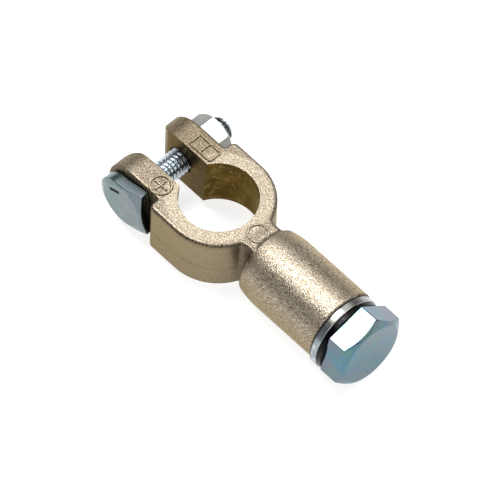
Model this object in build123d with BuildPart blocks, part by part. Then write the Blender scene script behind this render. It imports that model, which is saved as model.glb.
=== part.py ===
from build123d import *
import os
from math import cos, radians, sin, tan

os.makedirs("parts", exist_ok=True)

# Battery terminal clamp, sizes in millimetres. The origin is the centre of the post bore on the
# ring's underside: X runs along the cable barrel, Y along the clamp bolt and Z up the post.

# Ring round the battery post
ring_height = 14.8
ring_radius = 12.6
post_top_radius = 8.85
post_taper = 9.0  # the bore widens downwards by 1 in 9 on its diameter
post_bottom_radius = post_top_radius + ring_height / post_taper / 2
axis_height = ring_height / 2  # both bolts lie at mid height

# Arms and clamp lugs either side of the jaw gap
jaw_gap = 8.1
jaw_mouth_radius = 5.0  # the gap flares between the lugs' tips
shoulder_step = 2.7
lug_face = ring_radius - shoulder_step
lug_end_radius = ring_height / 2
lug_end_x = -16.7
lug_tip_x = lug_end_x - lug_end_radius
clamp_axis_offset = 0.45
clamp_axis_x = lug_end_x + clamp_axis_offset
shoulder_x = -8.6  # the arms step in to the lugs here, so the bolt's squared head can't turn
shoulder_corner = 1.3
shoulder_root = 0.5
casting_edge = 0.7

# Neck and cable barrel
neck_width = 8.6
neck_blend = 1.5
barrel_proud = 1.52  # the barrel stands out this far past the ring's faces
barrel_radius = axis_height + barrel_proud
barrel_start = 14.8
barrel_end = 38.5
barrel_shoulder = 3.6  # length of the tapered shoulder at the ring end
barrel_shoulder_drop = 0.75
barrel_root_round = 1.0
barrel_shoulder_round = 20.0
barrel_edge = 0.6
neck_end = barrel_start + barrel_shoulder  # the neck runs on into the barrel

# Running clearance on the radius of every threaded or turning fit
fit_clearance = 0.05

# Clamp bolt, M6 with a head that is squared on the ring's side and round outside, and its nut
clamp_thread_diameter = 6.0
clamp_hole_diameter = 1.1 * clamp_thread_diameter
clamp_head_flats = 12.2
clamp_head_reach = 6.9  # from the bolt's axis to the head's round side
clamp_head_round = 5.6
clamp_head_height = 3.35
clamp_head_under_bevel = 0.5
clamp_head_turn = 9.5
clamp_head_face_diameter = 11.1
clamp_head_bevel = 20.8
clamp_nut_flats = 1.6 * clamp_thread_diameter
clamp_nut_height = 5.0
clamp_nut_turn = 20.4
clamp_nut_face_diameter = 0.95 * clamp_nut_flats
clamp_nut_bevel = 30.0
thread_past_nut = 2.2
clamp_bolt_length = 2 * lug_face + clamp_nut_height + thread_past_nut

# Cable bolt, M10 with a hexagon head, over a spring washer and a flat washer
cable_thread_diameter = 10.0
cable_bolt_length = 20.0
cable_head_flats = 1.7 * cable_thread_diameter
cable_head_height = 5.9
cable_head_turn = 76.7
cable_head_face_diameter = 0.906 * cable_head_flats
cable_head_bevel = 32.0
washer_bore_diameter = 1.1 * cable_thread_diameter
washer_edge = 0.25
flat_washer_lip = 0.18  # stands out this far past the barrel
flat_washer_diameter = 2 * (barrel_radius + flat_washer_lip)
flat_washer_thickness = 1.9
spring_washer_inset = 0.2  # lies this far inside the flat washer's rim
spring_washer_diameter = flat_washer_diameter - 2 * spring_washer_inset
spring_washer_thickness = 1.4
spring_split = 0.9
spring_split_side = 212.0
spring_split_slant = 35.0
cable_head_seat = barrel_end + flat_washer_thickness + spring_washer_thickness
cable_bolt_tip = cable_head_seat - cable_bolt_length
thread_end_bevel = 0.6
tap_run_out = 2.0  # the tapped hole runs on past the bolt's tip
drill_point_angle = 118.0

# The loose washers hang on the bolt, off centre by their play, towards this side
washer_hang_side = 200.0
washer_hang = (washer_bore_diameter - cable_thread_diameter) / 2 - fit_clearance
washer_y = washer_hang * cos(radians(washer_hang_side))
washer_z = axis_height + washer_hang * sin(radians(washer_hang_side))

# Seats of the bolts, the nut and the washers, each facing away from the casting
near_lug = Plane(origin=(clamp_axis_x, -lug_face, axis_height), x_dir=(1, 0, 0), z_dir=(0, -1, 0))
head_turn = (cos(radians(clamp_head_turn)), 0, sin(radians(clamp_head_turn)))
clamp_seat = Plane(origin=near_lug.origin, x_dir=head_turn, z_dir=near_lug.z_dir)
far_lug = Plane(origin=(clamp_axis_x, lug_face, axis_height), x_dir=(-1, 0, 0), z_dir=(0, 1, 0))
flat_washer_plane = Plane(origin=(barrel_end, washer_y, washer_z), x_dir=(0, 1, 0), z_dir=(1, 0, 0))
spring_washer_plane = flat_washer_plane.offset(flat_washer_thickness)
cable_seat = Plane(origin=(cable_head_seat, 0, axis_height), x_dir=(0, 1, 0), z_dir=(1, 0, 0))
cable_axis = Axis((0, 0, axis_height), (1, 0, 0))


def turned_blank(seat, corner, height, face, bevel, both_ends=False):
    """The turned form that a bolt head or a nut stays within: shallow cones take its corners off."""
    drop = (corner - face / 2) * tan(radians(bevel))
    foot = [(face / 2, 0), (corner, drop)] if both_ends else [(corner, 0)]
    outline = [(0, 0), *foot, (corner, height - drop), (face / 2, height), (0, height)]
    with BuildPart() as blank:
        with BuildSketch(Plane(seat.origin, x_dir=seat.x_dir, z_dir=-seat.y_dir)):
            with BuildLine():
                Polyline(*outline, close=True)
            make_face()
        revolve(axis=Axis(seat.origin, seat.z_dir))
    return blank.part


def hexagon(seat, flats, height, turn, face, bevel, both_ends=False):
    """A hexagon bolt head or nut with its corners taken off."""
    corner = flats / 2 / cos(radians(30))
    with BuildPart() as prism:
        with BuildSketch(seat):
            RegularPolygon(flats / 2, 6, major_radius=False, rotation=turn)
        extrude(amount=height)
        add(turned_blank(seat, corner, height, face, bevel, both_ends), mode=Mode.INTERSECT)
    return prism.part


def threaded_shank(start, diameter, length):
    """A bolt's shank at its thread's outer diameter, bevelled at the tip."""
    with BuildPart() as shank:
        with BuildSketch(start):
            Circle(diameter / 2)
        extrude(amount=length)
        tip = shank.faces().sort_by(Axis(start.origin, start.z_dir))[-1]
        chamfer(tip.edges(), thread_end_bevel)
    return shank.part


def washer_ring(seat, diameter, thickness):
    """A washer's ring with the edges of its rim broken."""
    with BuildPart() as ring:
        with BuildSketch(seat):
            Circle(diameter / 2)
            Circle(washer_bore_diameter / 2, mode=Mode.SUBTRACT)
        extrude(amount=thickness)
        fillet(ring.edges().filter_by(GeomType.CIRCLE).group_by(SortBy.RADIUS)[-1], washer_edge)
    return ring.part


# Clamp body: ring, arms, lugs and cable barrel cast in one piece
with BuildPart() as clamp_body:
    with BuildSketch() as plan:
        Circle(ring_radius)
        with Locations((shoulder_x / 2, 0)):
            Rectangle(-shoulder_x, 2 * ring_radius)
        with Locations((lug_tip_x / 2, 0)):
            Rectangle(-lug_tip_x, 2 * lug_face)
        with Locations((neck_end / 2, 0)):
            Rectangle(neck_end, neck_width)
        fillet(plan.vertices().filter_by_position(Axis.X, 1, ring_radius), neck_blend)
        steps = plan.vertices().group_by(Axis.X)[1].sort_by(Axis.Y)
        fillet([steps[0], steps[-1]], shoulder_corner)
        roots = plan.vertices().filter_by_position(Axis.Y, -lug_face - fit_clearance, lug_face + fit_clearance)
        fillet(roots.group_by(Axis.X)[1], shoulder_root)
    extrude(amount=ring_height)

    # The lugs end in a half round about the clamp bolt
    with BuildSketch(Plane.XZ):
        with Locations((lug_end_x, axis_height)):
            Circle(lug_end_radius)
        with Locations(((lug_end_x + neck_end) / 2, axis_height)):
            Rectangle(neck_end - lug_end_x, ring_height)
    extrude(amount=ring_radius, both=True, mode=Mode.INTERSECT)

    # Cast edges, rounded before the bore and the jaw gap are cut so that those stay sharp
    level_edges = clamp_body.edges().group_by(Axis.Z)
    lug_ends = clamp_body.edges().filter_by(GeomType.CIRCLE).group_by(Axis.X)[0]
    cast_edges = level_edges[0] + level_edges[-1] + lug_ends
    fillet(cast_edges.filter_by_position(Axis.X, lug_tip_x, neck_end - casting_edge), casting_edge)

    # Cable barrel with its tapered shoulder
    with BuildSketch(Plane.XY.offset(axis_height)) as barrel_section:
        with BuildLine():
            Polyline(
                (barrel_start, 0),
                (barrel_start, barrel_radius - barrel_shoulder_drop),
                (barrel_start + barrel_shoulder, barrel_radius),
                (barrel_end, barrel_radius),
                (barrel_end, 0),
                close=True,
            )
        make_face()
        fillet(barrel_section.vertices().group_by(Axis.X)[0].sort_by(Axis.Y)[-1], barrel_root_round)
        fillet(barrel_section.vertices().group_by(Axis.Y)[-1].sort_by(Axis.X)[0], barrel_shoulder_round)
        fillet(barrel_section.vertices().group_by(Axis.Y)[-1].sort_by(Axis.X)[-1], barrel_edge)
    revolve(axis=cable_axis)
    neck_roots = clamp_body.edges().filter_by(Axis.Z)
    fillet(neck_roots.filter_by_position(Axis.X, barrel_start - fit_clearance, barrel_end), neck_blend)

    # Tapered bore for the post, widest at the underside
    bore_align = (Align.CENTER, Align.CENTER, Align.MIN)
    Cone(post_bottom_radius, post_top_radius, ring_height, align=bore_align, mode=Mode.SUBTRACT)

    # Jaw gap, sawn from the lugs' tips into the bore
    with BuildSketch() as gap:
        with Locations((lug_tip_x / 2, 0)):
            Rectangle(-lug_tip_x, jaw_gap)
        with Locations((lug_tip_x - jaw_mouth_radius / 2, 0)):
            Rectangle(jaw_mouth_radius, 4 * jaw_gap)
        fillet(gap.vertices().sort_by_distance((lug_tip_x, 0))[:2], jaw_mouth_radius)
    extrude(amount=ring_height, mode=Mode.SUBTRACT)

    # Clearance hole for the clamp bolt through both lugs
    with BuildSketch(near_lug):
        Circle(clamp_hole_diameter / 2)
    extrude(amount=-2 * lug_face, mode=Mode.SUBTRACT)

    # Tapped hole for the cable bolt, with the drill's point at its end
    tap_radius = cable_thread_diameter / 2 + fit_clearance
    tap_end = cable_bolt_tip - tap_run_out
    drill_point = tap_radius / tan(radians(drill_point_angle / 2))
    with BuildSketch(Plane.XY.offset(axis_height)):
        with BuildLine():
            Polyline(
                (tap_end - drill_point, 0),
                (tap_end, tap_radius),
                (barrel_end, tap_radius),
                (barrel_end, 0),
                close=True,
            )
        make_face()
    revolve(axis=cable_axis, mode=Mode.SUBTRACT)

# Clamp bolt: head against the near lug, thread through both lugs and the nut
with BuildPart() as clamp_bolt:
    with BuildSketch(clamp_seat) as head_plan:
        with Locations(((clamp_head_flats / 2 - clamp_head_reach) / 2, 0)):
            Rectangle(clamp_head_flats / 2 + clamp_head_reach, clamp_head_flats)
        fillet(head_plan.vertices().group_by(Axis.X)[0], clamp_head_round)
    extrude(amount=clamp_head_height)
    chamfer(clamp_bolt.faces().sort_by(Axis.Y)[-1].edges(), clamp_head_under_bevel)
    add(
        turned_blank(
            clamp_seat,
            clamp_head_flats / 2 / cos(radians(45)),
            clamp_head_height,
            clamp_head_face_diameter,
            clamp_head_bevel,
        ),
        mode=Mode.INTERSECT,
    )
    add(threaded_shank(-near_lug, clamp_thread_diameter, clamp_bolt_length))

# Clamp nut on the far lug, bevelled on both faces
with BuildPart() as clamp_nut:
    add(
        hexagon(
            far_lug,
            clamp_nut_flats,
            clamp_nut_height,
            clamp_nut_turn,
            clamp_nut_face_diameter,
            clamp_nut_bevel,
            both_ends=True,
        )
    )
    with BuildSketch(far_lug):
        Circle(clamp_thread_diameter / 2 + fit_clearance)
    extrude(amount=clamp_nut_height, mode=Mode.SUBTRACT)

# Flat washer against the barrel's end
with BuildPart() as flat_washer:
    add(washer_ring(flat_washer_plane, flat_washer_diameter, flat_washer_thickness))

# Spring washer, pressed flat, with a slanted split through its ring
split_out = (0, cos(radians(spring_split_side)), sin(radians(spring_split_side)))
split_plane = Plane(spring_washer_plane.origin, x_dir=(1, 0, 0), z_dir=split_out)
split_lean = spring_washer_thickness * tan(radians(spring_split_slant))
with BuildPart() as spring_washer:
    add(washer_ring(spring_washer_plane, spring_washer_diameter, spring_washer_thickness))
    with BuildSketch(split_plane):
        with BuildLine():
            Polyline(
                (0, -split_lean / 2 - spring_split / 2),
                (spring_washer_thickness, split_lean / 2 - spring_split / 2),
                (spring_washer_thickness, split_lean / 2 + spring_split / 2),
                (0, -split_lean / 2 + spring_split / 2),
                close=True,
            )
        make_face()
    extrude(amount=spring_washer_diameter, mode=Mode.SUBTRACT)

# Cable bolt: hexagon head over the washers, thread in the barrel
with BuildPart() as cable_bolt:
    add(
        hexagon(
            cable_seat,
            cable_head_flats,
            cable_head_height,
            cable_head_turn,
            cable_head_face_diameter,
            cable_head_bevel,
        )
    )
    add(threaded_shank(-cable_seat, cable_thread_diameter, cable_bolt_length))

clamp_body.part.label = "clamp_body"
export_step(clamp_body.part, "parts/clamp_body.step")
clamp_bolt.part.label = "clamp_bolt"
export_step(clamp_bolt.part, "parts/clamp_bolt.step")
clamp_nut.part.label = "clamp_nut"
export_step(clamp_nut.part, "parts/clamp_nut.step")
flat_washer.part.label = "flat_washer"
export_step(flat_washer.part, "parts/flat_washer.step")
spring_washer.part.label = "spring_washer"
export_step(spring_washer.part, "parts/spring_washer.step")
cable_bolt.part.label = "cable_bolt"
export_step(cable_bolt.part, "parts/cable_bolt.step")
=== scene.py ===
# Battery terminal clamp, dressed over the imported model. Metres, with Z up the battery post.
import math
from types import SimpleNamespace

import bmesh
import bpy
from mathutils import Matrix, Vector


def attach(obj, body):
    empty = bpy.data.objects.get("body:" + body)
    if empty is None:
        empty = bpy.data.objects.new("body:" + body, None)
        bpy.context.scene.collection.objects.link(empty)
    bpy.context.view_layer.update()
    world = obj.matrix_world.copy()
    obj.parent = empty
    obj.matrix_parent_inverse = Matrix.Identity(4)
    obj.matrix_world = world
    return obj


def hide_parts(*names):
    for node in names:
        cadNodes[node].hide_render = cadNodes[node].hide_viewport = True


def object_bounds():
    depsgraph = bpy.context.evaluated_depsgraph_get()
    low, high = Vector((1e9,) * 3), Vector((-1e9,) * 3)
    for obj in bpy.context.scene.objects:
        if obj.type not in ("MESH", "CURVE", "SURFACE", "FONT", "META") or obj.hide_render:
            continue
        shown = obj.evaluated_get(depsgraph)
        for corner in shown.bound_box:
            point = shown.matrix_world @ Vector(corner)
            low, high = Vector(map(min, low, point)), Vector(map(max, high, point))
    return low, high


mm = 0.001
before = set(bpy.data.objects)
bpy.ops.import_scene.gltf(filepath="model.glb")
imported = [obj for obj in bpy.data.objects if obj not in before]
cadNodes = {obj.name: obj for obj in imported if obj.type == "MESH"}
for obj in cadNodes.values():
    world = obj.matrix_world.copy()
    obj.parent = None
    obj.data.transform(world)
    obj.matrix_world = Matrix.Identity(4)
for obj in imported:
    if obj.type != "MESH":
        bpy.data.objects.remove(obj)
cadLow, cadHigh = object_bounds()
print("frame loaded:", ", ".join(sorted(cadNodes)))


def addNode(tree, kind, inputs=None, **settings):
    node = tree.nodes.new(kind)
    for key, value in settings.items():
        setattr(node, key, value)
    for key, value in (inputs or {}).items():
        if isinstance(value, bpy.types.NodeSocket):
            tree.links.new(value, node.inputs[key])
        else:
            node.inputs[key].default_value = value
    return node


def addMath(tree, operation, *values, clamp=False):
    node = addNode(tree, "ShaderNodeMath", dict(enumerate(values)), operation=operation)
    node.use_clamp = clamp
    return node.outputs[0]


def addProduct(tree, first, *others):
    for other in others:
        first = addMath(tree, "MULTIPLY", first, other)
    return first


def addLargest(tree, first, *others):
    for other in others:
        first = addMath(tree, "MAXIMUM", first, other)
    return first


# How far a value lies from a centre, on either side
def addGap(tree, value, centre):
    return addMath(tree, "ABSOLUTE", addMath(tree, "SUBTRACT", value, centre))


def addLength(tree, first, second):
    squares = addMath(tree, "ADD", addProduct(tree, first, first), addProduct(tree, second, second))
    return addMath(tree, "SQRT", squares)


# start where the share is 0, start + rise where it is 1
def addRise(tree, share, start, rise):
    return addMath(tree, "ADD", start, addProduct(tree, share, rise))


# 0 below low, 1 above high, smooth between; low may be the larger one
def addStep(tree, value, low, high):
    inputs = {"Value": value, "From Min": low, "From Max": high}
    node = addNode(tree, "ShaderNodeMapRange", inputs, interpolation_type="SMOOTHSTEP")
    return node.outputs["Result"]


def addRange(tree, value, span, low, high):
    inputs = {"Value": value, "From Min": span[0], "From Max": span[1], "To Min": low, "To Max": high}
    return addNode(tree, "ShaderNodeMapRange", inputs).outputs["Result"]


def addMix(tree, share, first, second):
    node = addNode(tree, "ShaderNodeMix", data_type="RGBA")
    for index, value in ((0, share), (6, first), (7, second)):
        if isinstance(value, bpy.types.NodeSocket):
            tree.links.new(value, node.inputs[index])
        elif index:
            node.inputs[index].default_value = (*value, 1)
        else:
            node.inputs[index].default_value = value
    return node.outputs[2]


def addNoise(tree, vector, scale, detail, rough, twist=0.0):
    inputs = {"Vector": vector, "Scale": scale, "Detail": detail, "Roughness": rough, "Distortion": twist}
    return addNode(tree, "ShaderNodeTexNoise", inputs).outputs["Fac"]


def addStretch(tree, vector, scale):
    return addNode(tree, "ShaderNodeMapping", {"Vector": vector, "Scale": scale}).outputs[0]


def addSplit(tree, vector):
    return addNode(tree, "ShaderNodeSeparateXYZ", {0: vector}).outputs


def addOpenness(tree, reach):
    return addNode(tree, "ShaderNodeAmbientOcclusion", {"Distance": reach}, samples=8).outputs["AO"]


# The span of a fine noise that roughness follows
fineSpan = (0.3, 0.7)


def addBump(tree, shader, height, strength, distance):
    bump = addNode(tree, "ShaderNodeBump", {"Strength": strength, "Distance": distance, "Height": height})
    tree.links.new(bump.outputs[0], shader.inputs["Normal"])


def startMaterial(name):
    material = bpy.data.materials.new(name)
    material.use_nodes = True
    tree = material.node_tree
    shader = next(n for n in tree.nodes if n.type == "BSDF_PRINCIPLED")
    place = addNode(tree, "ShaderNodeTexCoord")
    return material, tree, shader, place


def dress(obj, material):
    obj.data.materials.clear()
    obj.data.materials.append(material)


# Millimetres, as in the solids: the casting's height, and the seats of both bolts and the nut
castingSizes = {
    "top": 14.8,
    "axisHeight": 7.4,
    "lugFace": 9.9,
    "clampAxis": -16.25,
    "cableSeat": 41.8,
}

# Places on the casting are in millimetres, what stands on it in metres
markSizes = {
    "sunk": 0.1 * mm,
    "raised": 0.3 * mm,
    "stroke": 0.52 * mm,
    "crest": 0.55,
    "signCentre": (-10.6, -7.1),
    "signRing": 2.4,
    "plusReach": 1.75,
    "plusStroke": 0.572 * mm,
    "frameLow": (-14.4, 4.9),
    "frameHigh": (-8.1, 8.1),
    "layer": 0.005 * mm,
    "pinCentre": (12.5, -0.2),
    "pinRadius": 2.45,
    "pinShadeRadius": 2.294,
    "pinFoot": 0.34 * mm,
    "pinCrest": (0.06 * mm, 0.26 * mm),
    "pinLower": 0.06 * mm,
}

castingLook = {
    "pale": (0.66, 0.592, 0.475),
    "tan": (0.36, 0.30, 0.22),
    "wallShadeColour": (0.19, 0.15, 0.09),
    "brown": (0.24, 0.175, 0.095),
    "faced": (0.46, 0.39, 0.26),
    "pit": (0.10, 0.072, 0.045),
    "paintedShade": (0.03, 0.019, 0.011),
    "bored": (0.092, 0.056, 0.014),
    "boredDark": (0.055, 0.033, 0.008),
    "boredPale": (0.175, 0.125, 0.052),
    "sawn": (0.094, 0.070, 0.050),
    "glance": (0.78, 0.68, 0.50),
    "grainScale": 3400,
    "pitScale": 2890,
    "patchScale": 260,
    "flakeScale": 620,
    "toolStretch": (120, 120, 4200),
    "roughness": (0.45, 0.21),
    "cornerShadeReach": 2.2 * mm,
    "reliefStrength": 1.0,
    "relief": 0.1 * mm,
}

# Where the casting's finish changes, in millimetres: each pair runs from 0 to 1
castingPlaces = {
    "barrelStart": (13.5, 17.0),
    "barrelRoot": (22.5, 16.5),
    "barrelRim": (8.1, 8.3),
    "barrelEnd": (37.95, 38.2),
    "endFace": (38.44, 38.48),
    "circleStart": (-11.0, -7.0),
    "circleEnd": (18.0, 14.0),
    "ringEnd": (14.2, 13.2),
    "ringEdge": (11.2, 12.3),
    "ringTop": (12.8, 14.3),
    "lugs": (-6.0, -11.0),
    "farLug": (0.0, 4.0),
    "lugTips": (-14.5, -20.5),
    "pastTips": (-17.2, -16.2),
    "creviceShade": (3.6, 1.2),
    "rootCreaseShade": (0.5, 0.1),
    "bore": (10.1, 9.9),
    "gapSides": (4.3, 4.2),
    "gapStart": (-3.0, -4.0),
    "tapped": (5.6, 5.5),
    "tappedStart": (18.0, 19.0),
    "partingLine": (0.22, 0.05),
    "partingEnd": (12.5, 10.5),
    "partingWall": (12.0, 12.4),
    "marks": (14.82, 14.88),
    "markFoot": (0.24, 0.04),
    "footLow": (14.6, 14.7),
    "footHigh": (15.0, 14.9),
}
creviceCentre = (14.0 * mm, 5.8 * mm)
rootLineCentre = 14.85 * mm
partingHeight = 6.0 * mm
partingWander = 0.6 * mm

# Which span of each noise, or of a face's direction, runs from 0 to 1
castingSpans = {
    "grain": (0.44, 0.60),
    "pits": (0.51, 0.39),
    "patches": (0.5, 0.72),
    "openness": (0.75, 0.30),
    "ragged": (0.62, 0.40),
    "tips": (0.70, 0.40),
    "foot": (0.76, 0.42),
    "shadedWalls": (0.7, 0.2),
    "upright": (0.5, 0.3),
    "sideways": (0.8, 0.95),
    "endways": (0.8, 0.9),
    "blotch": (0.42, 0.62),
    "flakes": (0.52, 0.64),
    "tools": (0.50, 0.70),
}

# How strongly each layer covers the one below
castingShares = {
    "patches": 0.35,
    "root": 0.6,
    "circle": 0.36,
    "creviceShade": 0.95,
    "rootCreaseShade": 0.7,
    "endGapShade": 0.95,
    "rimShade": 0.36,
    "tips": 0.6,
    "foot": 0.6,
    "flakes": 0.6,
    "sawn": 0.85,
    "tools": 0.04,
    "faced": 0.85,
    "pitRelief": 0.8,
    "partingRelief": 1.2,
}

# Strengths that change with the place: what they start from, and what the place adds
castingRises = {
    "barrelPits": (0.6, 0.16),
    "farLug": (0.28, 0.30),
    "ringWallShade": (0.55, 0.25),
    "edges": (0.76, 0.16),
    "ragged": (0.6, 0.6),
    "lessShadeOnMarks": (1.0, -0.6),
    "barrelRelief": (0.5, 0.25),
    "machinedRelief": (1.0, -0.7),
    "metal": (0.9, 0.1),
    "dull": (0.5, -0.5),
}


# 0 to 1 across one of the casting's named places
def addZone(tree, value, name):
    low, high = castingPlaces[name]
    return addStep(tree, value, low * mm, high * mm)


def addSpan(tree, value, name):
    return addStep(tree, value, *castingSpans[name])


def addStrength(tree, share, name):
    return addRise(tree, share, *castingRises[name])


# What the layers of the casting's finish share: the place, the way it faces and the skin's noises
def makeFields(tree, place):
    look, where = castingLook, place.outputs["Object"]
    x, y, z = addSplit(tree, where)
    nx, ny, nz = addSplit(tree, place.outputs["Normal"])
    lift = addMath(tree, "SUBTRACT", z, castingSizes["axisHeight"] * mm)
    return SimpleNamespace(
        where=where,
        x=x,
        y=y,
        z=z,
        aside=addMath(tree, "ABSOLUTE", y),
        radius=addLength(tree, x, y),
        fromAxis=addLength(tree, y, lift),
        endward=nx,
        sideward=addMath(tree, "ABSOLUTE", ny),
        level=addMath(tree, "ABSOLUTE", nz),
        onBarrel=addZone(tree, x, "barrelStart"),
        onRing=addZone(tree, x, "ringEnd"),
        grain=addNoise(tree, where, look["grainScale"], 3, 0.65),
        pits=addNoise(tree, where, look["pitScale"], 2, 0.6),
        patches=addNoise(tree, where, look["patchScale"], 3, 0.6),
    )


# Full on the rounded edges, which face between upright and level
edgeCurve = ((0.05, 0.0), (0.2, 1.0), (0.78, 0.9), (0.95, 0.0))


def addEdgeCurve(tree, level):
    node = addNode(tree, "ShaderNodeFloatCurve", {"Value": level})
    curve = node.mapping.curves[0]
    curve.points[0].location, curve.points[1].location = (0.0, 0.0), (1.0, 0.0)
    for spot in edgeCurve:
        curve.points.new(*spot)
    node.mapping.update()
    return node.outputs[0]


# Painted shade along the foot of each cast mark, found from the marks' own sizes
def addMarkFootShade(tree, at):
    s = markSizes
    half = s["stroke"] / 2
    thin = half / mm

    def circleGap(centre, radius):
        dx, dy = (addMath(tree, "SUBTRACT", v, c * mm) for v, c in zip((at.x, at.y), centre))
        return addMath(tree, "SUBTRACT", addGap(tree, addLength(tree, dx, dy), radius * mm), half)

    def boxGap(cx, cy, hx, hy):
        wide = addMath(tree, "SUBTRACT", addGap(tree, at.x, cx * mm), hx * mm)
        deep = addMath(tree, "SUBTRACT", addGap(tree, at.y, cy * mm), hy * mm)
        return addLargest(tree, wide, deep)

    (sx, sy), reach = s["signCentre"], s["plusReach"]
    (x0, y0), (x1, y1) = s["frameLow"], s["frameHigh"]
    xm, ym = (x0 + x1) / 2, (y0 + y1) / 2
    long, tall = (x1 - x0) / 2, (y1 - y0) / 2
    nearest, *others = [
        circleGap(s["signCentre"], s["signRing"]),
        circleGap(s["pinCentre"], s["pinShadeRadius"]),
        boxGap(sx, sy, reach, thin),
        boxGap(sx, sy, thin, reach),
        boxGap(xm, y0, long, thin),
        boxGap(xm, y1, long, thin),
        boxGap(x0, ym, thin, tall),
        boxGap(xm, ym, thin, tall),
        boxGap(x1, ym, thin, tall),
    ]
    for gap in others:
        nearest = addMath(tree, "MINIMUM", nearest, gap)
    foot = addZone(tree, nearest, "markFoot")
    return addProduct(tree, foot, addZone(tree, at.z, "footHigh"), addZone(tree, at.z, "footLow"))


# Painted shade, dark brown, on the edges, in the corners and crevices and along the marks' feet
def addPaintedShade(tree, at):
    share = castingShares
    # Painted shade on the rounded edges of the ring and lugs, a little weaker at the lugs' tips
    edgeShare = addStrength(tree, addZone(tree, at.x, "pastTips"), "edges")
    edges = addProduct(tree, addEdgeCurve(tree, at.level), at.onRing, edgeShare)
    # Painted shade in the corners, where the surface is least open
    corners = addSpan(tree, addOpenness(tree, castingLook["cornerShadeReach"]), "openness")
    # Painted shade in the crevices beside the neck, in the line round the barrel's root and on the rounded
    # edge at its end, beside the washer
    ahead, aside = (addMath(tree, "SUBTRACT", v, c) for v, c in zip((at.x, at.aside), creviceCentre))
    creviceShade = addProduct(tree, addZone(tree, addLength(tree, aside, ahead), "creviceShade"), share["creviceShade"])
    rootCreaseShade = addZone(tree, addGap(tree, at.x, rootLineCentre), "rootCreaseShade")
    rootCreaseShade = addProduct(tree, rootCreaseShade, share["rootCreaseShade"])
    endGapShade = addProduct(tree, addZone(tree, at.x, "barrelEnd"), addZone(tree, at.fromAxis, "barrelRim"))
    endGapShade = addProduct(tree, endGapShade, share["endGapShade"])
    # Painted shade darkens the tops and walls towards the ring's outer edge
    rimShade = addProduct(tree, addZone(tree, at.radius, "ringEdge"), addZone(tree, at.z, "ringTop"))
    rimShade = addProduct(tree, rimShade, at.onRing, share["rimShade"])
    paintedShade = addLargest(tree, edges, corners, creviceShade, rootCreaseShade, endGapShade, rimShade)
    ragged = addStrength(tree, addSpan(tree, at.pits, "ragged"), "ragged")
    paintedShade = addMath(tree, "MULTIPLY", paintedShade, ragged, clamp=True)
    # The painted shade is weaker on the raised marks, and the lugs' rounded tips darken the most
    paintedShade = addProduct(tree, paintedShade, addStrength(tree, addZone(tree, at.z, "marks"), "lessShadeOnMarks"))
    tips = addProduct(tree, addZone(tree, at.x, "lugTips"), addSpan(tree, at.pits, "tips"), share["tips"])
    # Painted shade at the foot of the marks
    foot = addProduct(tree, addMarkFootShade(tree, at), addSpan(tree, at.pits, "foot"), share["foot"])
    return addLargest(tree, paintedShade, tips, foot)


# Shot blasted skin: grains, pits and slow patches
def addSkin(tree, at):
    look, share = castingLook, castingShares
    skin = addMix(tree, addSpan(tree, at.grain, "grain"), look["tan"], look["pale"])
    pitted = addProduct(tree, addSpan(tree, at.pits, "pits"), addStrength(tree, at.onBarrel, "barrelPits"))
    skin = addMix(tree, pitted, skin, look["pit"])
    patched = addProduct(tree, addSpan(tree, at.patches, "patches"), share["patches"])
    skin = addMix(tree, patched, skin, look["tan"])
    # Painted shade: the ring, and the barrel where it starts, are mixed towards the darker tan
    rootShade = addProduct(tree, at.onBarrel, addZone(tree, at.x, "barrelRoot"), share["root"])
    ringShade = addProduct(tree, addZone(tree, at.x, "circleStart"), addZone(tree, at.x, "circleEnd"))
    ringShade = addProduct(tree, ringShade, share["circle"])
    skin = addMix(tree, addLargest(tree, rootShade, ringShade), skin, look["tan"])
    # The lugs are browner than the ring, the far one most
    onLug = addStrength(tree, addZone(tree, at.y, "farLug"), "farLug")
    skin = addMix(tree, addProduct(tree, onLug, addZone(tree, at.x, "lugs")), skin, look["brown"])
    # Painted shade: upright walls are a little darker than the tops
    wallShadeShare = addProduct(tree, addSpan(tree, at.level, "shadedWalls"), addStrength(tree, at.onRing, "ringWallShade"))
    return addMix(tree, wallShadeShare, skin, look["wallShadeColour"])


# Bare alloy, browner than the skin, with flakes and tool lines
def addBareAlloy(tree, at, sawn):
    look, share = castingLook, castingShares
    tools = addNoise(tree, addStretch(tree, at.where, look["toolStretch"]), 1, 2, 0.6)
    blotch = addNoise(tree, at.where, look["patchScale"], 3, 0.55, 0.3)
    flakes = addNoise(tree, at.where, look["flakeScale"], 3, 0.6, 0.4)
    bare = addMix(tree, addSpan(tree, blotch, "blotch"), look["boredDark"], look["bored"])
    flaked = addProduct(tree, addSpan(tree, flakes, "flakes"), share["flakes"])
    bare = addMix(tree, flaked, bare, look["boredPale"])
    bare = addMix(tree, addProduct(tree, sawn, share["sawn"]), bare, look["sawn"])
    tooled = addProduct(tree, addSpan(tree, tools, "tools"), share["tools"])
    return addMix(tree, tooled, bare, look["pale"])


# The barrel's skin is the coarsest and machined faces are the smoothest
def addRelief(tree, at, machined):
    coarse = addStrength(tree, at.onBarrel, "barrelRelief")
    coarse = addProduct(tree, coarse, addStrength(tree, machined, "machinedRelief"))
    pitted = addProduct(tree, at.pits, castingShares["pitRelief"])
    height = addProduct(tree, addMath(tree, "ADD", at.grain, pitted), coarse)
    # Faint parting line round the ring's wall
    wander = addProduct(tree, addMath(tree, "SUBTRACT", at.patches, 0.5), partingWander)
    offLine = addGap(tree, addMath(tree, "ADD", at.z, wander), partingHeight)
    line = addProduct(tree, addZone(tree, offLine, "partingLine"), addZone(tree, at.x, "partingEnd"))
    line = addProduct(tree, line, addZone(tree, at.radius, "partingWall"))
    return addMath(tree, "ADD", height, addProduct(tree, line, castingShares["partingRelief"]))


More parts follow.
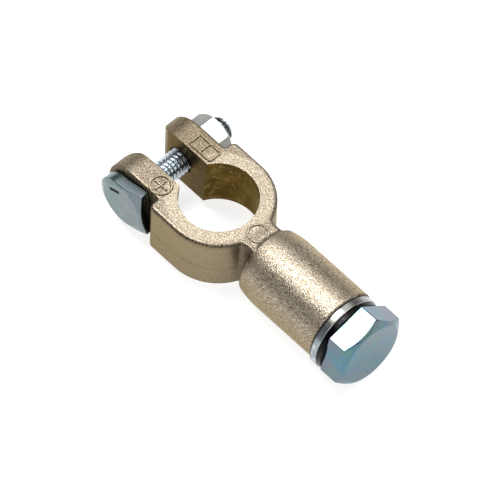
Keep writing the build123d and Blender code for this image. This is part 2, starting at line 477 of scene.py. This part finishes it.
def makeCastingFinish():
    look = castingLook
    material, tree, shader, place = startMaterial("tinnedCasting")
    at = makeFields(tree, place)
    paintedShade = addPaintedShade(tree, at)
    # Painted shade darkens the skin in its corners, crevices, creases and edges and at the marks' feet
    skin = addMix(tree, paintedShade, addSkin(tree, at), look["paintedShade"])

    # Bored, sawn, tapped and faced by a machine
    bored = addProduct(tree, addZone(tree, at.radius, "bore"), addSpan(tree, at.level, "upright"))
    sawn = addProduct(tree, addZone(tree, at.aside, "gapSides"), addSpan(tree, at.sideward, "sideways"))
    sawn = addProduct(tree, sawn, addZone(tree, at.x, "gapStart"))
    tapped = addProduct(tree, addZone(tree, at.fromAxis, "tapped"), addZone(tree, at.x, "tappedStart"))
    machined = addLargest(tree, bored, sawn, tapped)
    faced = addProduct(tree, addZone(tree, at.x, "endFace"), addSpan(tree, at.endward, "endways"))
    colour = addMix(tree, machined, skin, addBareAlloy(tree, at, sawn))
    colour = addMix(tree, addProduct(tree, faced, castingShares["faced"]), colour, look["faced"])
    tree.links.new(colour, shader.inputs["Base Color"])

    # Where shade is painted, the casting is also less metallic
    dull = addProduct(tree, paintedShade, addStrength(tree, machined, "dull"))
    metal = addMath(tree, "SUBTRACT", addStrength(tree, machined, "metal"), dull)
    tree.links.new(metal, shader.inputs["Metallic"])
    tree.links.new(addRange(tree, at.grain, fineSpan, *look["roughness"]), shader.inputs["Roughness"])
    shader.inputs["Specular Tint"].default_value = (*look["glance"], 1)
    addBump(tree, shader, addRelief(tree, at, machined), look["reliefStrength"], look["relief"])
    return material


# What all zinc and spring steel share
zincLook = {
    "oilAndShade": (0.012, 0.012, 0.013),
    "fineScale": 2600,
    "shadeScale": 2.3,
    "tintSpan": (0.36, 0.64),
    "shadeSpan": (0.48, 0.7),
    "brightShare": 0.6,
    "opennessSpan": (0.72, 0.32),
    "oilAndShadeShare": 0.8,
    "stampShadeShare": 0.92,
    "stampRise": 0.04 * mm,
    "stampFade": 1.05,
    "shankShadeCut": 0.15,
    "squareSpan": (0.98, 0.93),
    "roughnessPlay": (-0.05, 0.08),
    "reliefStrength": 0.18,
    "relief": 0.04 * mm,
}


def makeZincFinish(name, look):
    common = zincLook
    material, tree, shader, place = startMaterial(name)
    where = place.outputs["Object"]
    spots = addSplit(tree, where)
    tint = addNoise(tree, where, look["tintScale"], 2, 0.5, 0.6)
    shade = addNoise(tree, where, look["tintScale"] * common["shadeScale"], 2, 0.5)
    fine = addNoise(tree, where, common["fineScale"], 2, 0.6)
    colour = addMix(tree, addStep(tree, tint, *common["tintSpan"]), look["cool"], look["warm"])
    brightened = addProduct(tree, addStep(tree, shade, *common["shadeSpan"]), common["brightShare"])
    colour = addMix(tree, brightened, colour, look["bright"])
    # Oil and shadow in threads, grooves and corners
    oilAndShade = addStep(tree, addOpenness(tree, look["oilAndShadeReach"]), *common["opennessSpan"])
    oilAndShade = addProduct(tree, oilAndShade, common["oilAndShadeShare"])
    # Painted shade in the groove of the stamped dash
    if "stamp" in look:
        spot, size, deep = look["stamp"]
        away = addNode(tree, "ShaderNodeVectorMath", {0: where, 1: spot}, operation="DISTANCE")
        grooveShade = addStep(tree, spots[1], deep, deep + common["stampRise"])
        nearby = addStep(tree, away.outputs["Value"], size * common["stampFade"], size)
        grooveShade = addProduct(tree, nearby, grooveShade)
        oilAndShade = addLargest(tree, oilAndShade, addProduct(tree, grooveShade, common["stampShadeShare"]))
    if "shank" in look:
        axis, seat, past = look["shankFrom"]
        onShank = addStep(tree, spots[axis], seat, past)
        colour = addMix(tree, onShank, colour, look["shank"])
        # The painted shade is a little lighter on the shank
        oilAndShade = addProduct(tree, oilAndShade, addRise(tree, onShank, 1.0, -common["shankShadeCut"]))
    # Painted shade over one stretch, but not on the faces square to it
    if "paintedShadeStretch" in look:
        axis, clean, fullyShaded, share = look["paintedShadeStretch"]
        facing = addMath(tree, "ABSOLUTE", addSplit(tree, place.outputs["Normal"])[axis])
        notSquare = addStep(tree, facing, *common["squareSpan"])
        paintedShadeStretch = addProduct(tree, addStep(tree, spots[axis], clean, fullyShaded), notSquare, share)
        oilAndShade = addLargest(tree, oilAndShade, paintedShadeStretch)
    tree.links.new(addMix(tree, oilAndShade, colour, common["oilAndShade"]), shader.inputs["Base Color"])
    shader.inputs["Metallic"].default_value = 1.0
    smoothest, roughest = (look["roughness"] + play for play in common["roughnessPlay"])
    tree.links.new(addRange(tree, fine, fineSpan, smoothest, roughest), shader.inputs["Roughness"])
    height = addMath(tree, "ADD", fine, shade)
    addBump(tree, shader, height, common["reliefStrength"], common["relief"])
    return material


# shankFrom: an axis, where the shank starts and where its colour is full
# stamp: the groove's middle, its reach and its floor; shade is painted in the groove
# the painted shade's stretch: an axis, where it starts, where it is full and its share
clampBoltLook = {
    "cool": (0.135, 0.190, 0.190),
    "warm": (0.150, 0.180, 0.195),
    "bright": (0.190, 0.235, 0.225),
    "shank": (0.58, 0.65, 0.69),
    "shankFrom": (1, -9.9 * mm, -9.7 * mm),
    "tintScale": 130,
    "roughness": 0.20,
    "oilAndShadeReach": 0.4 * mm,
    "stamp": (Vector((-18.5, -13.0, 10.39)) * mm, 1.9 * mm, -13.24 * mm),
    # Painted shadow on the thread, growing towards the far lug and staying on past the nut
    "paintedShadeStretch": (1, 0.0 * mm, 6.0 * mm, 0.62),
}
cableBoltLook = {
    "cool": (0.086, 0.180, 0.236),
    "warm": (0.142, 0.164, 0.202),
    "bright": (0.110, 0.220, 0.180),
    "shank": (0.50, 0.58, 0.63),
    "shankFrom": (0, 41.8 * mm, 41.6 * mm),
    "tintScale": 150,
    "roughness": 0.18,
    "oilAndShadeReach": 0.5 * mm,
}
nutLook = {
    "cool": (0.165, 0.168, 0.161),
    "warm": (0.19, 0.185, 0.17),
    "bright": (0.23, 0.235, 0.225),
    "tintScale": 240,
    "roughness": 0.16,
    "oilAndShadeReach": 0.5 * mm,
}
washerLook = {
    "cool": (0.26, 0.30, 0.33),
    "warm": (0.36, 0.34, 0.31),
    "bright": (0.56, 0.58, 0.54),
    "tintScale": 200,
    "roughness": 0.24,
    "oilAndShadeReach": 0.9 * mm,
    # Painted shade on the washer's side that meets the barrel's end
    "paintedShadeStretch": (0, 38.96 * mm, 38.78 * mm, 0.94),
}
# Near black: the spring washer's own dark finish, made darker still as painted shade of the gap between the
# flat washer and the head
springLook = {
    "cool": (0.008, 0.008, 0.01),
    "warm": (0.014, 0.013, 0.012),
    "bright": (0.036, 0.036, 0.04),
    "tintScale": 420,
    "roughness": 0.30,
    "oilAndShadeReach": 0.5 * mm,
}

castingFinish = makeCastingFinish()
clampBoltFinish = makeZincFinish("clampBoltZinc", clampBoltLook)
cableBoltFinish = makeZincFinish("cableBoltZinc", cableBoltLook)
nutFinish = makeZincFinish("nutZinc", nutLook)
washerFinish = makeZincFinish("washerZinc", washerLook)
springFinish = makeZincFinish("springSteel", springLook)
print("finishes made")


# The ridge as shares of half a pitch: a flat crest, then a flank, and the rest is a flat root
# early: a nudge past rounding, so that each row stays in its own turn
threadShape = {"crest": 0.125, "flank": 0.625, "early": 0.0001, "weld": 0.004 * mm}


# A helical thread along +Z: rows of a grid follow the helix, and the ridge depends only on the row
def makeThreadTree():
    shape = threadShape
    tree = bpy.data.node_groups.new("helicalThread", "GeometryNodeTree")
    tree.interface.new_socket("Geometry", in_out="OUTPUT", socket_type="NodeSocketGeometry")
    for name in ("Radius", "Depth", "Pitch", "Turns", "Length", "Run In", "Tip"):
        tree.interface.new_socket(name, in_out="INPUT", socket_type="NodeSocketFloat")
    for name in ("Sides", "Rows"):
        tree.interface.new_socket(name, in_out="INPUT", socket_type="NodeSocketInt")
    tree.interface.new_socket("Finish", in_out="INPUT", socket_type="NodeSocketMaterial")
    given = tree.nodes.new("NodeGroupInput").outputs
    out = tree.nodes.new("NodeGroupOutput")

    rowCount = addMath(tree, "ADD", addProduct(tree, given["Turns"], given["Rows"]), 1)
    sideCount = addMath(tree, "ADD", given["Sides"], 1)
    counts = {"Vertices X": sideCount, "Vertices Y": rowCount}
    grid = addNode(tree, "GeometryNodeMeshGrid", {"Size X": 1.0, "Size Y": 1.0, **counts})
    spots = addSplit(tree, tree.nodes.new("GeometryNodeInputPosition").outputs[0])
    around = addMath(tree, "ADD", spots[0], 0.5)
    turn = addProduct(tree, addMath(tree, "ADD", spots[1], 0.5), given["Turns"])
    along = addMath(tree, "SUBTRACT", addMath(tree, "ADD", turn, around), 1)
    along = addLargest(tree, addProduct(tree, along, given["Pitch"]), 0.0)
    along = addMath(tree, "MINIMUM", along, given["Length"])
    phase = addMath(tree, "FRACT", addMath(tree, "ADD", turn, shape["early"]))
    away = addProduct(tree, addGap(tree, phase, 0.5), 2)
    cut = addMath(tree, "DIVIDE", addMath(tree, "SUBTRACT", away, shape["crest"]), shape["flank"], clamp=True)
    runIn = addMath(tree, "DIVIDE", along, given["Run In"], clamp=True)
    radius = addMath(tree, "SUBTRACT", given["Radius"], addProduct(tree, cut, runIn, given["Depth"]))
    # Bevel at the tip
    left = addMath(tree, "SUBTRACT", given["Length"], along)
    bevel = addMath(tree, "ADD", addMath(tree, "SUBTRACT", given["Radius"], given["Tip"]), left)
    radius = addMath(tree, "MINIMUM", radius, bevel)
    angle = addProduct(tree, around, 2 * math.pi)
    px = addProduct(tree, radius, addMath(tree, "COSINE", angle))
    py = addProduct(tree, radius, addMath(tree, "SINE", angle))
    spot = addNode(tree, "ShaderNodeCombineXYZ", {0: px, 1: py, 2: along}).outputs[0]
    wound = addNode(tree, "GeometryNodeSetPosition", {"Geometry": grid.outputs["Mesh"], "Position": spot})

    ends = []
    for endRadius, endAlong in (
        (given["Radius"], 0.0),
        (addMath(tree, "SUBTRACT", given["Radius"], given["Tip"]), given["Length"]),
    ):
        inputs = {"Vertices": given["Sides"], "Radius": endRadius}
        disc = addNode(tree, "GeometryNodeMeshCircle", inputs, fill_type="NGON").outputs[0]
        lift = addNode(tree, "ShaderNodeCombineXYZ", {2: endAlong}).outputs[0]
        moved = addNode(tree, "GeometryNodeTransform", {"Geometry": disc, "Translation": lift})
        ends.append(moved.outputs[0])
    joined = addNode(tree, "GeometryNodeJoinGeometry")
    for part in (wound.outputs[0], *ends):
        tree.links.new(part, joined.inputs[0])
    inputs = {"Geometry": joined.outputs[0], "Distance": shape["weld"]}
    merged = addNode(tree, "GeometryNodeMergeByDistance", inputs)
    real = addNode(tree, "GeometryNodeRealizeInstances", {"Geometry": merged.outputs[0]})
    inputs = {"Geometry": real.outputs[0], "Material": given["Finish"]}
    finished = addNode(tree, "GeometryNodeSetMaterial", inputs)
    tree.links.new(finished.outputs[0], out.inputs[0])
    return tree


# The tree's result as a plain mesh object; the modifier's inputs are set by their identifiers
def runTree(tree, name, values):
    obj = bpy.data.objects.new(name, bpy.data.meshes.new(name))
    bpy.context.scene.collection.objects.link(obj)
    modifier = obj.modifiers.new("rule", "NODES")
    modifier.node_group = tree
    for item in tree.interface.items_tree:
        if item.item_type == "SOCKET" and item.in_out == "INPUT" and item.name in values:
            modifier[item.identifier] = values[item.name]
    return bake(obj)


# A CAD node's mesh as one closed skin with its flat faces whole, ready to be bevelled
def mergedCopy(node, weld=0.002 * mm, flat=0.6):
    skin = bmesh.new()
    skin.from_mesh(cadNodes[node].data)
    bmesh.ops.remove_doubles(skin, verts=skin.verts, dist=weld)
    bmesh.ops.dissolve_limit(skin, angle_limit=math.radians(flat), verts=skin.verts, edges=skin.edges)
    return skin


def finishSkin(skin, name, smoothAngle=40, cutter=None):
    mesh = bpy.data.meshes.new(name)
    bmesh.ops.recalc_face_normals(skin, faces=skin.faces)
    skin.to_mesh(mesh)
    skin.free()
    obj = bpy.data.objects.new(name, mesh)
    bpy.context.scene.collection.objects.link(obj)
    if cutter:
        cut = obj.modifiers.new("cut", "BOOLEAN")
        cut.operation, cut.solver, cut.object = "DIFFERENCE", "EXACT", cutter
        bake(obj)
        bpy.data.objects.remove(cutter)
    obj.data.shade_smooth()
    obj.data.set_sharp_from_angle(angle=math.radians(smoothAngle))
    # Large faces keep their own normals, so a flat stays flat up to its softened edge
    weigh = obj.modifiers.new("weigh", "WEIGHTED_NORMAL")
    weigh.mode, weigh.weight, weigh.keep_sharp = "FACE_AREA", 100, True
    return bake(obj)


# The object with its modifiers applied, as a plain mesh
def bake(obj):
    bpy.context.view_layer.update()
    made = bpy.data.meshes.new_from_object(obj.evaluated_get(bpy.context.evaluated_depsgraph_get()))
    obj.modifiers.clear()
    old, obj.data = obj.data, made
    bpy.data.meshes.remove(old)
    made.name = obj.name
    return obj


def softenEdges(skin, width, segments=2, sharper=25):
    edges = [e for e in skin.edges if e.is_manifold and e.calc_face_angle(0) > math.radians(sharper)]
    bmesh.ops.bevel(
        skin,
        geom=edges,
        offset=width,
        offset_type="OFFSET",
        segments=segments,
        profile=0.5,
        affect="EDGES",
        clamp_overlap=True,
    )


def joinPieces(name, parts):
    skin = bmesh.new()
    for part in parts:
        skin.from_mesh(part.data)
        old = part.data
        bpy.data.objects.remove(part)
        bpy.data.meshes.remove(old)
    return finishSkin(skin, name)


threadTree = makeThreadTree()


# Points round a polygon in the head's plane, each corner rounded by its own radius
def roundedOutline(corners, rounds, step):
    arcs = []
    for i, radius in enumerate(rounds):
        here = Vector(corners[i])
        back = (Vector(corners[i - 1]) - here).normalized()
        ahead = (Vector(corners[(i + 1) % len(corners)]) - here).normalized()
        half = back.angle(ahead) / 2
        centre = here + (back + ahead).normalized() * radius / math.sin(half)
        first = here + back * radius / math.tan(half) - centre
        sweep = math.pi - 2 * half
        count = max(3, math.ceil(radius * sweep / step))
        arcs.append([centre + Matrix.Rotation(sweep * k / count, 2) @ first for k in range(count + 1)])
    outline = []
    for i, arc in enumerate(arcs):
        outline.extend(arc)
        start, end = arc[-1], arcs[(i + 1) % len(arcs)][0]
        count = math.ceil((end - start).length / step)
        outline.extend(start.lerp(end, k / count) for k in range(1, count))
    return outline


def hexOutline(look):
    reach = look["flats"] / 2 / math.cos(math.radians(30))
    angles = [math.radians(look["turn"] + 60 * k) for k in range(6)]
    corners = [(reach * math.cos(a), reach * math.sin(a)) for a in angles]
    return roundedOutline(corners, [look["cornerRound"]] * 6, look["step"])


# A point at the height of both bolts' axes, given in millimetres
def onAxis(x, y):
    return Vector((x, y, castingSizes["axisHeight"])) * mm


# A seat's place: its origin, with sideways, upward and outward as its own X, Y and Z
def seatMatrix(origin, sideways, outward):
    upward = Vector(outward).cross(Vector(sideways))
    columns = (Vector(sideways), upward, Vector(outward), Vector(origin))
    return Matrix([[c[i] for c in columns] for i in range(3)] + [[0, 0, 0, 1]])


def easedCorner(first, corner, last, steps=4):
    spots = []
    for k in range(steps + 1):
        t = k / steps
        shares = ((1 - t) ** 2, 2 * t * (1 - t), t * t)
        spots.append(tuple(sum(s * v for s, v in zip(shares, values)) for values in zip(first, corner, last)))
    return spots


# Bolt head or nut: one profile per point of its outline, under a shallow cone that takes the corners off
def makeBlank(look, outline):
    height, face, soft, ease = look["height"], look["face"] / 2, look["softEdge"], look["faceEase"]
    under, slope = look["underBevel"], math.tan(math.radians(look["bevel"]))

    def crown(r):
        return height - max(0, r - face) * slope

    def place(way, r, h):
        return look["seat"] @ Vector((way.x * r, way.y * r, h))

    skin = bmesh.new()
    rows = []
    for point in outline:
        reach = point.length
        way = point / reach
        rim = (reach, crown(reach))
        top = easedCorner((reach, rim[1] - soft), rim, (reach - soft, crown(reach - soft)))
        top += easedCorner((face + ease, crown(face + ease)), (face, height), (face - ease, height), 2)
        foot = [(reach - under, 0), (reach, under)]
        if look["hole"]:
            hole, sink = look["hole"], look["countersink"]
            foot = [(r, height - h) for r, h in reversed(top)]
            top += [(hole + sink, height), (hole, height - sink), (hole, sink), (hole + sink, 0)]
        rows.append([skin.verts.new(place(way, r, h)) for r, h in foot + top])
    for here, ahead in zip(rows, rows[1:] + rows[:1]):
        count = len(here) if look["hole"] else len(here) - 1
        for i in range(count):
            j = (i + 1) % len(here)
            skin.faces.new((here[i], ahead[i], ahead[j], here[j]))
    if not look["hole"]:
        skin.faces.new([row[0] for row in rows])
        skin.faces.new([row[-1] for row in rows])
    return skin


def threadValues(look, finish):
    return {
        "Radius": look["radius"],
        "Depth": look["depth"],
        "Pitch": look["pitch"],
        "Turns": float(math.ceil(look["length"] / look["pitch"]) + 1),
        "Length": look["length"],
        "Run In": look["runIn"],
        "Tip": look["tip"],
        "Sides": look["sides"],
        "Rows": look["rows"],
        "Finish": finish,
    }


# A thread grows along +Z; this lays it along its bolt, from inside the head to the tip
def threadPlace(look):
    return look["seat"] @ Matrix.Translation((0, 0, look["sunk"])) @ Matrix.Rotation(math.pi, 4, "X")


# The thread in a nut or a tapped hole: the bolt's own helix, wider by its play, closed into a sleeve
def makeSleeve(name, look, first, last, finish):
    values = threadValues(look, finish)
    values["Radius"] += look["play"]
    values["Depth"] -= look["play"]
    values["Length"] = max(values["Length"], last + 2 * look["pitch"])
    values["Turns"] = float(math.ceil(values["Length"] / look["pitch"]) + 1)
    tube = runTree(threadTree, name, values)
    skin = bmesh.new()
    skin.from_mesh(tube.data)
    bpy.data.objects.remove(tube)
    for spot, way in ((first, -1), (last, 1)):
        geometry = skin.verts[:] + skin.edges[:] + skin.faces[:]
        plane = {"plane_co": (0, 0, spot), "plane_no": (0, 0, way)}
        bmesh.ops.bisect_plane(skin, geom=geometry, clear_outer=True, **plane)
    grown = bmesh.ops.extrude_edge_only(skin, edges=[e for e in skin.edges if e.is_boundary])["geom"]
    for vert in (g for g in grown if isinstance(g, bmesh.types.BMVert)):
        vert.co.xy = vert.co.xy.normalized() * look["sleeve"]
    bmesh.ops.bridge_loops(skin, edges=[e for e in skin.edges if e.is_boundary])
    skin.transform(threadPlace(look))
    sleeve = finishSkin(skin, name)
    dress(sleeve, finish)
    return sleeve


# The head with a real thread for its shank
def makeBolt(name, look, outline, finish, cutter=None):
    head = finishSkin(makeBlank(look, outline), name + "Head", cutter=cutter)
    shank = runTree(threadTree, name + "Thread", threadValues(look, finish))
    shank.data.transform(threadPlace(look))
    bolt = joinPieces(name, [head, shank])
    dress(bolt, finish)
    return bolt


clampHeadTurn = math.radians(9.5)
clampHeadSide = (math.cos(clampHeadTurn), 0, math.sin(clampHeadTurn))
clampBoltSizes = {
    "seat": seatMatrix(onAxis(castingSizes["clampAxis"], -castingSizes["lugFace"]), clampHeadSide, (0, -1, 0)),
    "flats": 12.2 * mm,
    "reach": 6.9 * mm,
    "headRound": 5.6 * mm,
    "cornerRound": 0.22 * mm,
    "step": 0.5 * mm,
    "height": 3.35 * mm,
    "face": 11.1 * mm,
    "bevel": 20.8,
    "underBevel": 0.5 * mm,
    "softEdge": 0.14 * mm,
    "faceEase": 0.1 * mm,
    "hole": 0,
    "dash": ((-3.31, 2.93), (-0.14, 3.70)),
    "dashWidth": 1.0 * mm,
    "dashDepth": 0.4 * mm,
    "dashProud": 0.1 * mm,
    "radius": 3.0 * mm,
    "depth": 0.61 * mm,
    "pitch": 1.0 * mm,
    "length": 28.0 * mm,
    "sunk": 1.0 * mm,
    "runIn": 5.0 * mm,
    "tip": 0.62 * mm,
    "sides": 48,
    "rows": 14,
    "play": 0.05 * mm,
    "sleeve": 3.4 * mm,
}


# How far a bar's sides and ends lean in: a share of its height, up to a share of its width
barDraft = {"ofHeight": 0.35, "ofWidth": 0.3}


# A straight bar with drafted sides and ends, narrower at its height `high`
def addBar(skin, start, end, width, low, high):
    start, end = Vector(start), Vector(end)
    along = (end - start).normalized()
    across = Vector((-along.y, along.x)) * width / 2
    draft = min(barDraft["ofHeight"] * abs(high - low), width * barDraft["ofWidth"])
    rings = []
    for height, shrink in ((low, 0.0), (high, draft)):
        narrow = across * (1 - 2 * shrink / width)
        first, last = start + along * shrink, end - along * shrink
        corners = (first - narrow, last - narrow, last + narrow, first + narrow)
        rings.append([skin.verts.new((*p, height)) for p in corners])
    skin.faces.new(rings[0][::-1])
    skin.faces.new(rings[1])
    for i in range(4):
        j = (i + 1) % 4
        skin.faces.new((rings[0][i], rings[0][j], rings[1][j], rings[1][i]))


# Squared on the ring's side and round outside, with one stamped dash
def makeClampBolt():
    s = clampBoltSizes
    half = s["flats"] / 2
    corners = [(-s["reach"], -half), (half, -half), (half, half), (-s["reach"], half)]
    rounds = [s["headRound"], s["cornerRound"], s["cornerRound"], s["headRound"]]
    outline = roundedOutline(corners, rounds, s["step"])
    dash = bmesh.new()
    start, end = (Vector(p) * mm for p in s["dash"])
    addBar(dash, start, end, s["dashWidth"], s["height"] + s["dashProud"], s["height"] - s["dashDepth"])
    dash.transform(s["seat"])
    cutter = finishSkin(dash, "dashCutter")
    return makeBolt("clampBolt", s, outline, clampBoltFinish, cutter)


clampBolt = makeClampBolt()
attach(clampBolt, "clamp_bolt")
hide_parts("clamp_bolt")

cableBoltSizes = {
    "seat": seatMatrix(onAxis(castingSizes["cableSeat"], 0), (0, 1, 0), (1, 0, 0)),
    "flats": 17.0 * mm,
    "turn": 76.7,
    "cornerRound": 0.3 * mm,
    "step": 0.7 * mm,
    "height": 5.9 * mm,
    "face": 15.4 * mm,
    "bevel": 32.0,
    "underBevel": 0.15 * mm,
    "softEdge": 0.2 * mm,
    "faceEase": 0.16 * mm,
    "hole": 0,
    "radius": 5.0 * mm,
    "depth": 0.92 * mm,
    "pitch": 1.5 * mm,
    "length": 21.0 * mm,
    "sunk": 1.0 * mm,
    "runIn": 3.0 * mm,
    "tip": 0.94 * mm,
    "sides": 56,
    "rows": 14,
    "play": 0.05 * mm,
    "sleeve": 5.4 * mm,
    "tapped": (4.5 * mm, 22.4 * mm),
}
cableBolt = makeBolt("cableBolt", cableBoltSizes, hexOutline(cableBoltSizes), cableBoltFinish)
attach(cableBolt, "cable_bolt")
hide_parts("cable_bolt")
print("bolts made:", len(clampBolt.data.polygons), len(cableBolt.data.polygons))

nutSizes = {
    "seat": seatMatrix(onAxis(castingSizes["clampAxis"], castingSizes["lugFace"]), (-1, 0, 0), (0, 1, 0)),
    "flats": 9.6 * mm,
    "turn": 20.4,
    "cornerRound": 0.2 * mm,
    "step": 0.5 * mm,
    "height": 5.0 * mm,
    "face": 9.12 * mm,
    "bevel": 30.0,
    "underBevel": 0,
    "softEdge": 0.1 * mm,
    "faceEase": 0.07 * mm,
    "hole": 3.05 * mm,
    "countersink": 0.35 * mm,
    "tapped": (21.1 * mm, 25.5 * mm),
}
nutBlank = finishSkin(makeBlank(nutSizes, hexOutline(nutSizes)), "nutBlank")
nutThread = makeSleeve("nutThread", clampBoltSizes, *nutSizes["tapped"], nutFinish)
clampNut = joinPieces("clampNut", [nutBlank, nutThread])
dress(clampNut, nutFinish)
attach(clampNut, "clamp_nut")
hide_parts("clamp_nut")


washerSoftEdge = 0.08 * mm


# A washer's CAD skin with its edges softened
def makeWasher(name, node, finish):
    skin = mergedCopy(node)
    softenEdges(skin, washerSoftEdge)
    piece = finishSkin(skin, name)
    dress(piece, finish)
    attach(piece, "washers")
    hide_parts(node)


makeWasher("flatWasher", "flat_washer", washerFinish)
makeWasher("springWasher", "spring_washer", springFinish)
print("nut and washers made")

dress(cadNodes["clamp_body"], castingFinish)


# A closed outline of (radius, height) pairs, turned about an upright axis
def turnedRidge(skin, centre, outline, segments=64):
    loops = []
    for step in range(segments):
        angle = 2 * math.pi * step / segments
        dx, dy = math.cos(angle), math.sin(angle)
        loops.append([skin.verts.new((centre[0] + r * dx, centre[1] + r * dy, h)) for r, h in outline])
    for step in range(segments):
        here, ahead = loops[step], loops[(step + 1) % segments]
        for i in range(len(outline)):
            j = (i + 1) % len(outline)
            skin.faces.new((here[i], ahead[i], ahead[j], here[j]))


def makeMarks():
    s = markSizes
    top, half = castingSizes["top"] * mm, s["stroke"] / 2
    low, high, crest = top - s["sunk"], top + s["raised"], half * s["crest"]
    skin = bmesh.new()
    # Polarity sign in its ring on the near lug
    cx, cy = (c * mm for c in s["signCentre"])
    ring = s["signRing"] * mm
    ridge = [(ring - half, low), (ring + half, low), (ring + crest, high), (ring - crest, high)]
    turnedRidge(skin, (cx, cy), ridge)
    reach = s["plusReach"] * mm
    addBar(skin, (cx - reach, cy), (cx + reach, cy), s["plusStroke"], low, high)
    addBar(skin, (cx, cy - reach), (cx, cy + reach), s["plusStroke"], low, high - 2 * s["layer"])
    # Bare two-cell frame on the far lug
    (x0, y0), (x1, y1) = ([c * mm for c in s[k]] for k in ("frameLow", "frameHigh"))
    xm = (x0 + x1) / 2
    bars = [
        ((x0, y0), (x1, y0)),
        ((x0, y1), (x1, y1)),
        ((x0, y0), (x0, y1)),
        ((x1, y0), (x1, y1)),
        ((xm, y0), (xm, y1)),
    ]
    for i, (start, end) in enumerate(bars):
        addBar(skin, start, end, s["stroke"], low, high - s["layer"] * i)
    # Mark left by the mould's ejector pin at the root of the neck
    px, py = (c * mm for c in s["pinCentre"])
    pin = s["pinRadius"] * mm
    outside, inside = (pin - back for back in s["pinCrest"])
    lower = high - s["pinLower"]
    turnedRidge(skin, (px, py), [(pin - s["pinFoot"], low), (pin, low), (outside, lower), (inside, lower)])
    marks = finishSkin(skin, "castMarks")
    dress(marks, castingFinish)
    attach(marks, "clamp_body")


makeMarks()
barrelThread = makeSleeve("barrelThread", cableBoltSizes, *cableBoltSizes["tapped"], castingFinish)
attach(barrelThread, "clamp_body")
print("casting dressed")


stageLook = {
    "floor": (0.5, 0.5, 0.5),
    "floorShade": 0.985,
    "floorSize": 6.0,
    "paperScale": 3,
    "roughness": 0.9,
    "gloss": 0.1,
    "glow": 0.745,
    "sky": 1.0,
    "skySpan": (0.0, 0.5),
    "skyTones": (0.42, 0.22),
}

# Place, what it faces, size and power, in metres and watts
softboxes = {
    "barrelBox": ((-0.40, -0.045, 1.0), (0.02, 0, 0), (0.51, 0.42), 8.2),
    "nutBox": ((0.27, 0.46, 1.0), (-0.016, 0.012, 0), (0.32, 0.32), 2.9),
    "topBox": ((-0.47, 0.50, 1.0), (0, 0, 0), (0.7, 0.7), 1.5),
    "sideBox": ((-0.85, 0.51, 0.86), (-0.016, -0.012, 0), (0.5, 0.5), 0.75),
    "fillBox": ((0.75, -0.75, 0.9), (0.01, 0, 0), (0.8, 0.8), 5.0),
    "endBox": ((1.05, 0.2, 0.5), (0.04, 0, 0), (0.6, 0.5), 2.6),
}

# Solved from the photo: degrees, millimetres, and pixels for the focal length
cameraSizes = {
    "azimuth": 44.708,
    "elevation": 56.126,
    "roll": 2.471,
    "target": (8, 0, 7),
    "distance": 1956.859,
    "right": 1.381,
    "down": 2.001,
    "focal": 9133.166,
    "imageWidth": 500,
    "sensor": 36,
    "clip": (0.1, 20),
}


def makeStage():
    look = stageLook
    bpy.ops.mesh.primitive_plane_add(size=look["floorSize"], location=(0, 0, cadLow.z))
    floor = bpy.context.object
    floor.name = "studioFloor"
    material, tree, shader, place = startMaterial("palePaper")
    shade = addNoise(tree, place.outputs["Object"], look["paperScale"], 2, 0.5)
    paper = addMix(tree, shade, look["floor"], tuple(c * look["floorShade"] for c in look["floor"]))
    tree.links.new(paper, shader.inputs["Base Color"])
    shader.inputs["Roughness"].default_value = look["roughness"]
    shader.inputs["Specular IOR Level"].default_value = look["gloss"]
    # Lit from below like a light table, so the ground stays white
    shader.inputs["Emission Color"].default_value = (1, 1, 1, 1)
    shader.inputs["Emission Strength"].default_value = look["glow"]
    dress(floor, material)

    world = bpy.data.worlds.new("studioSky")
    bpy.context.scene.world = world
    world.use_nodes = True
    tree = world.node_tree
    background = next(n for n in tree.nodes if n.type == "BACKGROUND")
    way = addNode(tree, "ShaderNodeTexCoord").outputs["Generated"]
    tone = addRange(tree, addSplit(tree, way)[2], look["skySpan"], *look["skyTones"])
    shade = addNode(tree, "ShaderNodeCombineColor", {0: tone, 1: tone, 2: tone})
    tree.links.new(shade.outputs[0], background.inputs["Color"])
    background.inputs["Strength"].default_value = look["sky"]


def addSoftbox(name, spot, aim, size, power):
    data = bpy.data.lights.new(name, "AREA")
    data.shape = "RECTANGLE"
    data.size, data.size_y = size
    data.energy = power
    box = bpy.data.objects.new(name, data)
    bpy.context.scene.collection.objects.link(box)
    box.location = spot
    box.rotation_mode = "QUATERNION"
    box.rotation_quaternion = (Vector(spot) - Vector(aim)).to_track_quat("Z", "Y")
    box.visible_camera = False


def makeCamera():
    s = cameraSizes
    azimuth, elevation, roll = (math.radians(s[k]) for k in ("azimuth", "elevation", "roll"))
    right = Vector((math.cos(azimuth), math.sin(azimuth), 0))
    level = Vector((math.sin(azimuth), -math.cos(azimuth), 0))
    back = level * math.cos(elevation) + Vector((0, 0, math.sin(elevation)))
    up = back.cross(right)
    tiltedRight = right * math.cos(roll) + up * math.sin(roll)
    tiltedUp = up * math.cos(roll) - right * math.sin(roll)
    spot = Vector(s["target"]) + back * s["distance"] + tiltedRight * s["right"] - tiltedUp * s["down"]
    spot *= mm
    data = bpy.data.cameras.new("photoCamera")
    data.sensor_width = s["sensor"]
    data.lens = s["focal"] / s["imageWidth"] * s["sensor"]
    data.clip_start, data.clip_end = s["clip"]
    camera = bpy.data.objects.new("photoCamera", data)
    bpy.context.scene.collection.objects.link(camera)
    camera.matrix_world = Matrix(
        (
            (tiltedRight.x, tiltedUp.x, back.x, spot.x),
            (tiltedRight.y, tiltedUp.y, back.y, spot.y),
            (tiltedRight.z, tiltedUp.z, back.z, spot.z),
            (0, 0, 0, 1),
        )
    )
    bpy.context.scene.camera = camera


makeStage()
for boxName, boxValues in softboxes.items():
    addSoftbox(boxName, *boxValues)
makeCamera()
bpy.context.scene.view_settings.view_transform = "Standard"
print("stage made")
